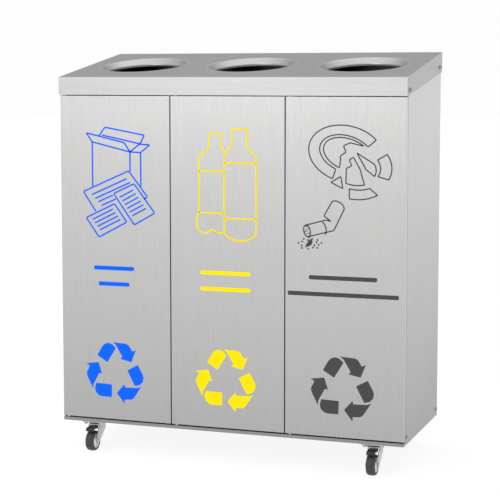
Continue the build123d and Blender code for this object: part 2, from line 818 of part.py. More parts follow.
for caster in braked:
    nodes[caster + "_brake_pedal"] = brake_pedal(caster)
    nodes[caster + "_brake_pin"] = brake_pin(caster)

os.makedirs("parts", exist_ok=True)
for node, shape in nodes.items():
    if isinstance(shape, list):
        shape = Compound(children=shape)
    export_step(shape, "parts/" + node + ".step")
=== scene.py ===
import json
import math

import bmesh
import bpy
from bpy.props import FloatProperty, FloatVectorProperty, PointerProperty
from mathutils import Matrix, Vector


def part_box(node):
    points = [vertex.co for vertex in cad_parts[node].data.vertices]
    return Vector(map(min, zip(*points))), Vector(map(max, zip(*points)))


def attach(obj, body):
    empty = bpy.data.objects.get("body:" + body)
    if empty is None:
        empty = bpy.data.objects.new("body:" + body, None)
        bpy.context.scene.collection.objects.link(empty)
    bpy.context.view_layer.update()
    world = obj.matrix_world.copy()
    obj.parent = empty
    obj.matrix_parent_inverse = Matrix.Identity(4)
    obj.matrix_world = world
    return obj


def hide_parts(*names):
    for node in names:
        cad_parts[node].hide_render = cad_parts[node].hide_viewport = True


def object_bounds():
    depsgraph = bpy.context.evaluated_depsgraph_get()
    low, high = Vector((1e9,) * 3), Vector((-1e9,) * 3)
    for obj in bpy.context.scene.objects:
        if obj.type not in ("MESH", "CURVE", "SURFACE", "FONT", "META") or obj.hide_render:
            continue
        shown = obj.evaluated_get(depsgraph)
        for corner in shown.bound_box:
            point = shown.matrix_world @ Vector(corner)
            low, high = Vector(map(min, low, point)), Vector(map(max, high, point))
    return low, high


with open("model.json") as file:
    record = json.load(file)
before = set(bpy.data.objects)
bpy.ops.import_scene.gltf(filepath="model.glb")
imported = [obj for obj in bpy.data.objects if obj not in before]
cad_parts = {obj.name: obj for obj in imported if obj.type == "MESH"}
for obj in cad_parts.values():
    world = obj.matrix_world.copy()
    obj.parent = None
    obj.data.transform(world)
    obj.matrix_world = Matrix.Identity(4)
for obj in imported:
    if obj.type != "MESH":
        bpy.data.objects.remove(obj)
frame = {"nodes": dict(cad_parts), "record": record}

bl_info = {
    "name": "Waste sorting station finish",
    "version": (1, 0, 0),
    "blender": (4, 5, 0),
    "location": "3D View > Sidebar > Station",
    "description": "Finishes, panel graphics, casters and studio for a three-bay waste sorting station",
    "category": "Object",
}

CAD_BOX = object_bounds()
CASE_MIDDLE = (0.0, 0.0, 0.5)
DOORS = ("left", "middle", "right")
BRAKED = ("front_left", "front_right")
CASTERS = BRAKED + ("rear_left", "rear_right")
MM = 0.001

# Places on the doors in millimetres: across from the door's middle and up from its foot.
ARROWS_PLACE = (-2, 118)
CAPTION_PLACE = (-4, 357)
PAPER_PLACE = (9, 590)
BOTTLE_PLACE = (-1, 588)
PLATE_PLACE = (12, 648)
STUB_PLACE = (-52, 493)
CAPTION_WIDTHS = ((107, 82), (127, 127), (164, 268))


# ---- Sizes and colours that a user would change ----
def colour(name, description, default):
    """A colour that a user can change."""
    return FloatVectorProperty(
        name=name, description=description, subtype="COLOR", size=3, min=0.0, max=1.0, default=default
    )


def length(name, description, default):
    """A length in metres that a user can change."""
    return FloatProperty(name=name, description=description, unit="LENGTH", precision=4, default=default)


class StationFinish(bpy.types.PropertyGroup):
    """Colours of the sheet metal, the casters and the plastics"""

    steel: colour("Steel", "Brushed stainless sheet", (0.60, 0.60, 0.595))
    bin_coat: colour("Inner bins", "Powder coat of the inner bins", (0.012, 0.012, 0.013))
    zinc: colour("Zinc", "Zinc-plated caster parts", (0.49, 0.48, 0.475))
    tyre: colour("Tyre", "Rubber of the tyres", (0.035, 0.037, 0.040))
    core: colour("Wheel core", "Moulded wheel cores", (0.80, 0.80, 0.80))
    pedal: colour("Pedal", "Moulded brake pedals", (0.012, 0.012, 0.013))
    nylon: colour("Nylon", "Door bushes", (0.75, 0.74, 0.70))
    # Painted shade: share of the steel's tone left at the floor, so the casing and the doors grow darker
    # towards the bottom.
    case_foot_shade: FloatProperty(name="Case foot", description="Casing's tone near the floor", default=0.46)
    door_foot_shade: FloatProperty(name="Door foot", description="Doors' tone near the floor", default=0.64)


class StationGraphics(bpy.types.PropertyGroup):
    """Vinyl graphics on the doors"""

    paper: colour("Paper", "Colour of the paper bay", (0.0, 0.125, 0.98))
    plastic: colour("Plastic", "Colour of the plastic bay", (0.93, 0.76, 0.0))
    residual: colour("Residual", "Colour of the residual waste bay", (0.065, 0.065, 0.068))
    vinyl: length("Vinyl", "Thickness of the cut vinyl", 0.00018)
    paper_line: length("Paper line", "Line width of the paper picture", 0.0036)
    plastic_line: length("Plastic line", "Line width of the plastic picture", 0.0044)
    residual_line: length("Residual line", "Line width of the residual waste picture", 0.0029)


class StationCasters(bpy.types.PropertyGroup):
    """Details of the casters"""

    tyre_wall: length("Tyre wall", "Tread to the wheel core", 0.0075)
    groove: length("Groove", "Depth of the tread's grooves", 0.0007)
    axle: length("Axle", "Radius of the axle", 0.003)
    pedal_boss: length("Pedal boss", "Radius of the boss round the pedal's pin", 0.0036)


class StationStudio(bpy.types.PropertyGroup):
    """Camera, lights, walls and floor"""

    camera_place: FloatVectorProperty(
        name="Camera",
        description="Where the camera stands",
        subtype="XYZ",
        size=3,
        default=(1.2253, -3.5146, 0.9258),
    )
    camera_turn: FloatProperty(
        name="Turn",
        description="Camera turned about the upright",
        subtype="ANGLE",
        default=math.radians(19.291),
    )
    camera_tilt: FloatProperty(
        name="Tilt", description="Camera tipped down", subtype="ANGLE", default=math.radians(5.42)
    )
    lens: FloatProperty(name="Lens", description="Focal length in millimetres", default=108.09)
    shift: FloatProperty(name="Rise", description="Lens rise as a share of the picture", default=-0.06)
    floor: colour("Floor", "Pale floor", (0.14, 0.14, 0.14))
    floor_glow: FloatProperty(
        name="Floor glow", description="Light that comes up through the floor", default=0.87
    )
    wall: FloatProperty(name="Wall", description="Brightness of the studio's walls", default=0.985)
    shade_behind: FloatProperty(
        name="Flag", description="Share of light taken by the flag high up behind", default=0.62
    )
    shade_front: FloatProperty(name="Front", description="Share of light missing in front", default=0.15)
    floor_reach: length("Floor reach", "Half the floor's width", 30.0)
    key_place: FloatVectorProperty(
        name="Key",
        description="Where the key light stands",
        subtype="XYZ",
        size=3,
        default=(-0.9, -2.6, 2.1),
    )
    key_size: length("Key size", "Width of the key light", 1.6)
    top_place: FloatVectorProperty(
        name="Top",
        description="Where the overhead light hangs",
        subtype="XYZ",
        size=3,
        default=(0.0, 0.4, 4.0),
    )
    top_size: length("Top size", "Width of the overhead light", 3.0)
    key_power: FloatProperty(name="Key power", description="Watts of the key light", default=22.0)
    top_power: FloatProperty(name="Top power", description="Watts of the light overhead", default=16.0)


# ---- Shader building ----
class Value:
    """A number that runs through a material or the world; sums on it add Math nodes."""

    def __init__(self, material, socket):
        self.material = material
        self.socket = socket

    def combine(self, operation, first, second):
        sums = self.material.node("ShaderNodeMath", {"operation": operation}, {0: first, 1: second})
        return Value(self.material, sums.outputs[0])

    def __add__(self, other):
        return self.combine("ADD", self, other)

    __radd__ = __add__

    def __sub__(self, other):
        return self.combine("SUBTRACT", self, other)

    def __rsub__(self, other):
        return self.combine("SUBTRACT", other, self)

    def __mul__(self, other):
        return self.combine("MULTIPLY", self, other)

    __rmul__ = __mul__

    def absolute(self):
        return self.combine("ABSOLUTE", self, 0.0)


class Finish:
    """The nodes of a material or of the world, and the methods that build them."""

    def __init__(self, data, shader="Principled BSDF"):
        self.data = data
        self.data.use_nodes = True
        self.tree = self.data.node_tree
        self.shader = self.tree.nodes[shader]

    def node(self, kind, settings, sockets):
        """Any node: settings are its own values, sockets are numbers, colours or links."""
        made = self.tree.nodes.new(kind)
        for key, value in settings.items():
            if key == "stops":
                self.stops(made.color_ramp, value)
            else:
                setattr(made, key, value)
        for key, value in sockets.items():
            self.feed(made.inputs[key], value)
        return made

    def stops(self, ramp, stops):
        """Stops of a colour ramp: places and greys."""
        while len(ramp.elements) < len(stops):
            ramp.elements.new(1.0)
        for element, (place, grey) in zip(ramp.elements, stops):
            element.position = place
            element.color = (grey, grey, grey, 1.0)

    def feed(self, socket, value):
        """A link where the value is one, or else the socket's own value."""
        if isinstance(value, Value):
            value = value.socket
        if isinstance(value, bpy.types.NodeSocket):
            self.tree.links.new(value, socket)
        elif socket.type == "RGBA":
            socket.default_value = (*value[:3], 1.0)
        else:
            socket.default_value = value

    def set(self, **values):
        """Sockets of the shader itself; an underscore stands for a space."""
        for key, value in values.items():
            self.feed(self.shader.inputs[key.replace("_", " ")], value)

    def place(self, scale):
        """Object coordinates, stretched by three scales."""
        where = self.node("ShaderNodeTexCoord", {}, {})
        mapping = self.node("ShaderNodeMapping", {}, {"Vector": where.outputs["Object"], "Scale": scale})
        return mapping.outputs["Vector"]

    def height(self):
        """Height over the floor in metres."""
        where = self.node("ShaderNodeTexCoord", {}, {})
        parts = self.node("ShaderNodeSeparateXYZ", {}, {0: where.outputs["Object"]})
        return Value(self, parts.outputs["Z"])

    def facing(self):
        """How far the surface faces left or right, front or back, and up or down, each from 0 to 1."""
        where = self.node("ShaderNodeTexCoord", {}, {})
        parts = self.node("ShaderNodeSeparateXYZ", {}, {0: where.outputs["Normal"]})
        return [Value(self, parts.outputs[axis]).absolute() for axis in "XYZ"]

    def outward(self, centre):
        """Over 0 where the surface faces away from a point, under 0 where it faces it."""
        where = self.node("ShaderNodeTexCoord", {}, {})
        points = {0: where.outputs["Object"], 1: centre}
        away = self.node("ShaderNodeVectorMath", {"operation": "SUBTRACT"}, points)
        pair = {0: away.outputs["Vector"], 1: where.outputs["Normal"]}
        made = self.node("ShaderNodeVectorMath", {"operation": "DOT_PRODUCT"}, pair)
        return Value(self, made.outputs["Value"])

    def noise(self, scale, stretch=(1, 1, 1), detail=3.0, roughness=0.5):
        """Noise from 0 to 1 over the object."""
        vector = self.place(stretch)
        sockets = {"Vector": vector, "Scale": scale, "Detail": detail, "Roughness": roughness}
        made = self.node("ShaderNodeTexNoise", {}, sockets)
        return Value(self, made.outputs["Fac"])

    def spread(self, value, low, high):
        """The value's part from low to high, spread from 0 to 1."""
        made = self.node("ShaderNodeMapRange", {}, {"Value": value, "From Min": low, "From Max": high})
        return Value(self, made.outputs["Result"])

    def mix(self, factor, first, second):
        """A colour between two colours."""
        made = self.node("ShaderNodeMix", {"data_type": "RGBA"}, {0: factor, 6: first, 7: second})
        return made.outputs[2]

    def scaled(self, rgb, level):
        """A colour times a number."""
        made = self.node("ShaderNodeVectorMath", {"operation": "SCALE"}, {0: tuple(rgb), 3: level})
        return made.outputs[0]

    def bump(self, height, strength, distance):
        """Small relief on the surface."""
        sockets = {"Height": height, "Strength": strength, "Distance": distance}
        made = self.node("ShaderNodeBump", {}, sockets)
        self.set(Normal=made.outputs["Normal"])


def shade(rgb, factor):
    """A colour made lighter or darker."""
    return tuple(min(1.0, part * factor) for part in rgb)


def brushed_steel(name, rgb, stretch, roughness=0.30, foot=1.0, flank_shade=1.0, bend_highlight=0.0, inside=1.0):
    """Stainless sheet with a small stretch along its grain.

    The foot, flank and inside shares paint shade onto the tone: darker towards the floor, on faces turned
    to the left or right, and on faces turned towards the case's middle. The gleam paints a highlight on the
    bends between top faces and front or side faces.
    """
    finish = Finish(bpy.data.materials.new(name))
    grain = finish.noise(900.0, stretch, 2.0)
    streak = finish.noise(160.0, stretch, 3.0)
    cloud = finish.noise(5.0, (1, 1, 1), 3.0)
    tone = 0.5 * grain + 0.5 * streak
    level = 0.94 + 0.09 * finish.spread(grain, 0.3, 0.7) + 0.03 * finish.spread(streak, 0.3, 0.7)
    # Painted shade: the tone falls from full at 0.85 m to the foot share at 0.05 m over the floor.
    rise = finish.spread(finish.height(), 0.05, 0.85)
    side, front, top = finish.facing()
    # Painted shade on faces turned to the left or right, down to the flank share.
    sideways_shade = finish.spread(side, 0.5, 0.9)
    # Painted shade on faces turned towards the case's middle, down to the inside share.
    outside = finish.spread(finish.outward(CASE_MIDDLE), -0.05, 0.0)
    # Painted highlight on the bends between top faces and front or side faces, up to 1 + gleam times the
    # tone.
    bend_highlight_mask = finish.spread((side + front) * top, 0.25, 0.42)
    # The grain's tone times the painted shade and the painted highlight.
    level = level * (foot + (1.0 - foot) * rise) * (1.0 - (1.0 - flank_shade) * sideways_shade)
    level = level * (inside + (1.0 - inside) * outside) * (1.0 + bend_highlight * bend_highlight_mask)
    finish.set(
        Base_Color=finish.scaled(rgb, level),
        Metallic=1.0,
        Roughness=roughness - 0.04 + 0.08 * tone + 0.06 * cloud,
    )
    finish.bump(tone, 0.10, 0.00004)
    return finish.data


def powder_coat(name, rgb):
    """Sheet with a fine orange-peel powder coat."""
    finish = Finish(bpy.data.materials.new(name))
    cloud = finish.noise(12.0, (1, 1, 1), 3.0)
    finish.set(
        Base_Color=finish.mix(cloud, shade(rgb, 0.85), shade(rgb, 1.15)),
        Roughness=0.6 + 0.12 * cloud,
        Specular_IOR_Level=0.15,
    )
    finish.bump(finish.noise(500.0), 0.15, 0.0002)
    return finish.data


def plated(name, rgb, roughness=0.22):
    """Zinc-plated pressings and bolts."""
    finish = Finish(bpy.data.materials.new(name))
    cloud = finish.noise(120.0, (1, 1, 1), 4.0)
    finish.set(
        Base_Color=finish.mix(cloud, shade(rgb, 0.9), shade(rgb, 1.08)),
        Metallic=1.0,
        Roughness=roughness + 0.12 * cloud,
    )
    finish.bump(finish.noise(700.0, (1, 1, 1), 2.0), 0.06, 0.0001)
    return finish.data


def moulded(name, rgb, roughness=0.42, grain=0.12):
    """Moulded plastic or rubber with a fine grain."""
    finish = Finish(bpy.data.materials.new(name))
    cloud = finish.noise(60.0, (1, 1, 1), 3.0)
    pits = finish.noise(2200.0, (1, 1, 1), 2.0)
    finish.set(
        Base_Color=finish.mix(cloud, shade(rgb, 0.88), shade(rgb, 1.12)),
        Roughness=roughness + 0.14 * (cloud - 0.5) + 0.06 * pits,
    )
    finish.bump(pits, grain, 0.0002)
    return finish.data


def vinyl(name, rgb):
    """Cut vinyl film."""
    finish = Finish(bpy.data.materials.new(name))
    cloud = finish.noise(40.0, (1, 1, 1), 2.0)
    finish.set(
        Base_Color=finish.mix(cloud, shade(rgb, 0.97), shade(rgb, 1.03)),
        Roughness=0.6 + 0.1 * cloud,
        Specular_IOR_Level=0.12,
    )
    finish.bump(finish.noise(900.0), 0.04, 0.00005)
    return finish.data


# ---- Flat graphics ----
def rounded(points, radius, closed, most=0.45, steps=4):
    """The points with each corner turned into a short curve, which takes at most a share of each side."""
    made = []
    count = len(points)
    for index, point in enumerate(points):
        here = Vector(point)
        if not closed and index in (0, count - 1):
            made.append(here)
            continue
        before = Vector(points[index - 1]) - here
        after = Vector(points[(index + 1) % count]) - here
        reach = min(radius, before.length * most, after.length * most)
        start = here + before.normalized() * reach
        end = here + after.normalized() * reach
        for step in range(steps + 1):
            t = step / steps
            made.append(start * (1 - t) ** 2 + here * 2 * t * (1 - t) + end * t ** 2)
    return made


def arc(centre, radii, start, end, turn=0.0, steps=24):
    """Points along an ellipse between two angles in degrees, the ellipse turned by an angle."""
    made = []
    for step in range(steps + 1):
        angle = math.radians(start + (end - start) * step / steps)
        point = Vector((radii[0] * math.cos(angle), radii[1] * math.sin(angle)))
        point.rotate(Matrix.Rotation(math.radians(turn), 2))
        made.append(Vector(centre) + point)
    return made


def spline(curve, points, closed):
    """One straight-sided spline, its points in millimetres."""
    made = curve.splines.new("POLY")
    made.points.add(len(points) - 1)
    for place, point in zip(made.points, points):
        place.co = (point[0] * MM, point[1] * MM, 0.0, 1.0)
    made.use_cyclic_u = closed


def as_mesh(curve, name):
    """The curve as a mesh; the curve itself is thrown away."""
    holder = bpy.data.objects.new(name, curve)
    bpy.context.scene.collection.objects.link(holder)
    mesh = bpy.data.meshes.new_from_object(holder.evaluated_get(bpy.context.evaluated_depsgraph_get()))
    bpy.data.objects.remove(holder)
    bpy.data.curves.remove(curve)
    return mesh


def stroke_mesh(lines, width, thickness):
    """Flat strokes of one width along open and closed lines."""
    section = bpy.data.curves.new("stroke_section", "CURVE")
    section.dimensions = "2D"
    half, rise = width / 2 / MM, thickness / 2 / MM
    spline(section, [(-half, -rise), (half, -rise), (half, rise), (-half, rise)], True)
    holder = bpy.data.objects.new("stroke_section", section)
    curve = bpy.data.curves.new("strokes", "CURVE")
    curve.dimensions = "3D"
    curve.twist_mode = "Z_UP"
    curve.bevel_mode = "OBJECT"
    curve.bevel_object = holder
    curve.use_fill_caps = True
    for points, closed in lines:
        spline(curve, rounded(points, width / MM, closed), closed)
    mesh = as_mesh(curve, "strokes")
    bpy.data.objects.remove(holder)
    bpy.data.curves.remove(section)
    return mesh


def patch_mesh(shapes, thickness, radius=1.2):
    """Filled flat shapes."""
    curve = bpy.data.curves.new("patches", "CURVE")
    curve.dimensions = "2D"
    curve.fill_mode = "BOTH"
    curve.extrude = thickness / 2
    for points in shapes:
        spline(curve, rounded(points, radius, True), True)
    return as_mesh(curve, "patches")


def piece(name, mesh, material, body):
    """A finished object that rides on a body."""
    if isinstance(mesh, bmesh.types.BMesh):
        bmesh.ops.remove_doubles(mesh, verts=mesh.verts, dist=1e-7)
        bmesh.ops.recalc_face_normals(mesh, faces=mesh.faces)
        data = bpy.data.meshes.new(name)
        mesh.to_mesh(data)
        mesh.free()
        mesh = data
    made = bpy.data.objects.new(name, mesh)
    bpy.context.scene.collection.objects.link(made)
    made.data.materials.clear()
    made.data.materials.append(material)
    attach(made, body)
    return made


def on_door(door, mesh, name, centre, thickness, material):
    """A flat mesh laid on a door: the centre is across from its middle and up from its foot."""
    low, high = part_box(door + "_door")
    middle = (low.x + high.x) / 2
    place = Vector((middle + centre[0] * MM, low.y - thickness / 2, low.z + centre[1] * MM))
    mesh.transform(Matrix.Translation(place) @ Matrix.Rotation(math.pi / 2, 4, "X"))
    return piece(name, mesh, material, door + "_door_leaf")


def chasing_arrows():
    """Three folded arrows round a triangle: a tail and a head, repeated at thirds of a turn."""
    tail = [(-47, 39), (-34, 61), (-28, 67), (-18, 70), (-8, 67), (1, 58), (-21, 23)]
    head = [(-7, 72), (27, 70), (34, 67), (44, 52), (53, 57), (41, 27), (12, 33)]
    head += [(18, 38), (6, 58), (1, 66)]
    size = 1.04
    made = []
    for turn in range(3):
        spin = Matrix.Rotation(math.radians(120 * turn), 2)
        made += [[spin @ Vector(point) * size for point in shape] for shape in (tail, head)]
    return made


def caption_bars(widths, height=10.0, pitch=39.0):
    """Plain bars, one under the other, where a caption would stand."""
    shapes = []
    for row, width in enumerate(widths):
        x = width / 2
        low = pitch * (0.5 - row) - height / 2
        high = low + height
        shapes.append([(-x, low), (x, low), (x, high), (-x, high)])
    return shapes


def fan(start, end, step, count):
    """Parallel lines, each one step from the last."""
    made = []
    for index in range(count):
        shift = Vector(step) * index
        made.append(([Vector(start) + shift, Vector(end) + shift], False))
    return made


def paper_picture():
    """Open carton with three ruled sheets in front of it."""
    lines = [
        ([(-68, -14), (-68, 95), (-84, 117), (17, 94), (32, 72), (-68, 95)], False),
        ([(32, 72), (32, 25)], False),
        ([(32, 72), (60, 71), (60, -12)], False),
        ([(32, 72), (57, 91), (84, 90), (60, 71)], False),
        ([(-50, 110), (-34, 131), (70, 113), (59, 92), (-42, 112)], False),
        ([(-60, -75), (-93, -27), (28, 26), (77, -36), (68, -42)], False),
        ([(-12, -30), (42, -5), (96, -75), (42, -105)], True),
        ([(-86, -91), (-10, -55), (22, -99), (-52, -138)], True),
    ]
    lines += fan((-70, -34), (23, 7), (9, -9), 2)
    lines += fan((-53, -51), (-14, -34), (8, -9), 2)
    lines += fan((4, -39), (40, -20), (6.6, -8.8), 6)
    lines += fan((-69, -95), (-14, -68), (6.4, -8.4), 4)
    return lines


def bottle_picture():
    """Two bottles, one partly behind the other."""
    hollow = arc((-34, -117), (11, 8), 180, 0, steps=8)
    belly = arc((35, -110), (40, 23), 0, -180, steps=12)
    behind = [(-5, 79), (-14, 90), (-14, 122), (-43, 122), (-43, 88), (-69, 66), (-69, -68), (-75, -76)]
    behind += [(-75, -104), (-64, -116), *hollow, (-16, -115), (-6, -117)]
    ahead = [(14, 133), (52, 133), (52, 91), (75, 67), *belly, (-5, 72), (14, 91)]
    return [
        (behind, False),
        (ahead, True),
        ([(-5, 52), (75, 52)], False),
        ([(-5, -80), (75, -80)], False),
        ([(-69, 32), (-5, 32)], False),
        ([(-69, -68), (-5, -68)], False),
    ]


def plate_picture():
    """Broken plate: rim pieces and shards inside it, all from one set of tilted ellipses."""
    rims = (((92, 65), -13), ((66, 42), -17), ((60, 36), -19))

    def edge(rim, start, end, shift):
        radii, turn = rims[rim]
        return arc(shift, radii, start, end, turn)

    def ring(start, end, shift):
        return edge(0, start, end, shift) + edge(1, end, start, shift), True

    def shard(start, end, points, shift):
        return edge(2, start, end, shift) + [Vector(shift) + Vector(point) for point in points], True

    return [
        ring(48, 258, (-9, 18)),
        ring(-14, 38, (8, -4)),
        ring(276, 322, (4, -20)),
        shard(60, 262, [(-17, -15), (-17, -3), (-4, 5), (-10, 20), (6, 27)], (-6, 17)),
        shard(-10, 34, [(12, 28), (34, -10)], (4, -7)),
        shard(272, 318, [(24, -2), (8, 26), (-2, 20), (4, 6), (-9, 0)], (0, -15)),
        ([(-46, -48), (-22, -34), (-17, -62)], True),
    ]


def stub_picture():
    """Bent cigarette stub with a burnt end."""
    butt = arc((35, 52), (17, 10), 180, 0, turn=-30, steps=12)
    return [
        ([(-44, 5), (7, 19), (19, 16), (2, 28), *butt, (26, -5), (-35, -21)], False),
        (arc((-39, -8), (8, 14), 0, 330, 14, 16), True),
        (arc((0, -1), (7, 15), -80, 80, 14, 8), False),
    ]


def ash_dots():
    """A heap of ash under the stub with loose dots round it, and smaller dots over the stub's burnt end."""
    made = [[(-43, -42), (-37, -33), (-31, -26), (-25, -31), (-27, -39), (-35, -45)]]
    spirals = ((5, 22, (-33, -37), (6.4, 3.3), 2.3), (0, 7, (-39, -8), (2.6, 4.4), 1.6))
    for first, last, centre, spread, size in spirals:
        for index in range(first, last):
            angle, reach = index * 2.4, math.sqrt(index)
            x = centre[0] + spread[0] * reach * math.cos(angle)
            y = centre[1] + spread[1] * reach * math.sin(angle)
            made.append(arc((x, y), (size, size), 0, 330, steps=9))
    return made


def studio_world(settings):
    """White walls, darker high up behind and a little darker in front."""
    surround = Finish(bpy.data.worlds.new("studio_world"), "Background")
    where = surround.node("ShaderNodeTexCoord", {}, {})
    parts = surround.node("ShaderNodeSeparateXYZ", {}, {0: where.outputs["Generated"]})
    depth = Value(surround, parts.outputs["Y"])
    behind = surround.spread(depth, 0.0, 0.4)
    front = surround.spread(depth, 0.2, -0.6)
    stops = ((0.08, 0.0), (0.24, 1.0), (0.52, 1.0), (0.8, 0.0))
    rise = surround.node("ShaderNodeValToRGB", {"stops": stops}, {0: parts.outputs["Z"]})
    flag = Value(surround, rise.outputs[0]) * behind
    level = settings.wall - settings.shade_behind * flag - settings.shade_front * front
    grey = surround.node("ShaderNodeCombineXYZ", {}, {0: level, 1: level, 2: level})
    surround.set(Color=grey.outputs[0], Strength=1.0)
    return surround.data


def studio_light(name, place, target, size, power):
    """A soft square light that faces a point."""
    data = bpy.data.lights.new(name, "AREA")
    data.shape = "SQUARE"
    data.size = size
    data.energy = power
    light = bpy.data.objects.new(name, data)
    bpy.context.scene.collection.objects.link(light)
    light.location = place
    light.rotation_euler = (Vector(target) - Vector(place)).to_track_quat("-Z", "Y").to_euler()


# ---- Casters ----
def spun(profile, centre, steps=64):
    """A closed ring spun about a line along X; the profile holds places along and radii, in metres."""
    mesh = bmesh.new()
    corners = [mesh.verts.new((along, radius, 0.0)) for along, radius in profile]
    edges = [mesh.edges.new((corners[i - 1], corners[i])) for i in range(len(corners))]
    bmesh.ops.spin(
        mesh,
        geom=corners + edges,
        cent=(0, 0, 0),
        axis=(1, 0, 0),
        steps=steps,
        angle=2 * math.pi,
        use_merge=True,
    )
    bmesh.ops.translate(mesh, verts=mesh.verts, vec=centre)
    return mesh


def mirrored(half):
    """A profile's near half and its mirror image, as one closed loop."""
    return half + [(-along, radius) for along, radius in reversed(half)]


def extruded(outline, low, high, bevel):
    """A solid between two places along X, with its outline in the YZ plane and rounded edges."""
    mesh = bmesh.new()
    corners = [mesh.verts.new((low, y, z)) for y, z in outline]
    face = mesh.faces.new(corners)
    pushed = bmesh.ops.extrude_face_region(mesh, geom=[face])
    moved = [item for item in pushed["geom"] if isinstance(item, bmesh.types.BMVert)]
    bmesh.ops.translate(mesh, verts=moved, vec=(high - low, 0, 0))
    bmesh.ops.recalc_face_normals(mesh, faces=mesh.faces)
    bmesh.ops.bevel(
        mesh, geom=mesh.edges[:], offset=bevel, affect="EDGES", segments=3, profile=0.5, material=-1
    )
    return mesh


def half_sizes(node):
    """A wheel part's middle, half its width and its radius."""
    low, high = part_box(node)
    return (low + high) / 2, (high.x - low.x) / 2, (high.z - low.z) / 2


def tyre_mesh(node, settings):
    """Tyre with a tread band between two grooves and a ridge on each side wall."""
    middle, half, outer = half_sizes(node)
    inner = outer - settings.tyre_wall
    groove = outer - settings.groove
    wall = half - 0.0002
    profile = [(0.0, inner), (half - 0.0006, inner), (wall, inner + 0.0006)]
    profile += [(wall, inner + 0.0022), (half, inner + 0.0026), (half - 0.0001, inner + 0.0034)]
    shoulder_steps = 6
    for step in range(shoulder_steps + 1):
        angle = math.radians(90 * step / shoulder_steps)
        along = half - 0.0056 + 0.0054 * math.cos(angle)
        profile.append((along, outer - 0.0044 + 0.0040 * math.sin(angle)))
    profile += [(half - 0.0064, groove), (half - 0.0070, groove), (half - 0.0074, outer), (0.0, outer)]
    near = profile[:0:-1]
    far = [(-along, radius) for along, radius in profile]
    return spun(near + far, middle)


def core_mesh(node, settings):
    """Wheel core with a rim bead, a stepped dish and a chamfered hub."""
    middle, half, outer = half_sizes(node)
    bead = half - 0.0021
    bore = settings.axle + 0.0001
    hub = [(half - 0.0005, bore), (half, bore + 0.0005), (half, 0.0064), (half - 0.0006, 0.0071)]
    dish = [(0.0066, 0.0076), (0.0058, 0.0086), (0.0056, 0.0118), (0.0066, 0.0126), (0.0082, 0.0142)]
    rim = [(bead - 0.0004, 0.0152), (bead, 0.0158), (bead, outer - 0.0004), (bead - 0.0004, outer)]
    return spun(mirrored(hub + dish + rim), middle)


def pedal_mesh(node, settings):
    """Toe pedal with rounded edges, a boss round its pin and grip ribs across the top."""
    low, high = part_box(node)
    hub = settings.pedal_boss
    width = high.x - low.x
    pin = Vector(((low.x + high.x) / 2, high.y - hub, low.z + 0.0058))
    sole, tread = low.z + 0.0002, high.z - 0.0006
    outline = [
        (low.y, sole), (low.y + 0.0030, sole), (low.y + 0.0068, high.z - 0.0050), (pin.y, pin.z - hub),
        (pin.y, tread), (low.y + 0.0062, tread), (low.y + 0.0020, high.z - 0.0022),
    ]
    mesh = extruded(outline, low.x, high.x, 0.0006)
    turned = Matrix.Translation(pin) @ Matrix.Rotation(math.pi / 2, 4, "Y")
    bmesh.ops.create_cone(
        mesh, cap_ends=True, segments=32, radius1=hub, radius2=hub, depth=width, matrix=turned
    )
    rib = Matrix.Diagonal((width - 0.003, 0.0012, 0.0011, 1.0))
    for row in range(5):
        place = Matrix.Translation((pin.x, low.y + 0.0075 + row * 0.0035, tread))
        bmesh.ops.create_cube(mesh, size=1.0, matrix=place @ rib)
    return mesh


# ---- Operators ----
class STATION_OT_finishes(bpy.types.Operator):
    """Give every part of the cabinet and the casters its material"""

    bl_idname = "station.finishes"
    bl_label = "Finishes"

    def execute(self, context):
        tones = context.scene.station_finish
        upright = (1.0, 1.0, 0.02)
        across = (0.02, 1.0, 1.0)
        # Painted shade: faces turned towards the case's middle keep this share of their tone.
        steel, inside_shade = tones.steel, 0.2
        finishes = {
            "case_steel": brushed_steel(
                "case_steel_grain", steel, upright, foot=tones.case_foot_shade, inside=inside_shade
            ),
            # Doors: the same steel painted 7% lighter as painted light, with painted shade towards the
            # floor.
            "door_steel": brushed_steel(
                "door_steel_grain", shade(steel, 1.07), upright, foot=tones.door_foot_shade
            ),
            # Lid: painted shade on the side flanges and on faces turned inwards, and a painted highlight on
            # the bends.
            "lid_steel": brushed_steel(
                "lid_steel_grain", steel, across, flank_shade=0.68, bend_highlight=0.9, inside=inside_shade
            ),
            # Collars: the same steel painted darker as painted shade; their rougher grain is their own.
            "chute_collar": brushed_steel("spun_collar_grain", shade(steel, 0.84), across, roughness=0.42),
            "bin_coat": powder_coat("bin_powder_coat", tones.bin_coat),
            "zinc_plated": plated("zinc_plate", tones.zinc),
            "fastener": plated("stainless_fastener", shade(steel, 0.62), roughness=0.2),
            "tyre": moulded("tyre_rubber", tones.tyre, roughness=0.55, grain=0.2),
            "wheel_core": moulded("core_moulding", tones.core, roughness=0.4),
            "pedal": moulded("pedal_moulding", tones.pedal, roughness=0.33),
            "bush": moulded("nylon", tones.nylon, roughness=0.4),
            "catch": moulded("catch_moulding", shade(tones.pedal, 4.0), roughness=0.5),
        }
        for row in frame["record"]["subparts"]:
            part = frame["nodes"][row["node"]]
            part.data.materials.clear()
            collar = row["node"].endswith("chute_collar")
            kind = "chute_collar" if collar else row["material_slot"]
            part.data.materials.append(finishes[kind])
        return {"FINISHED"}


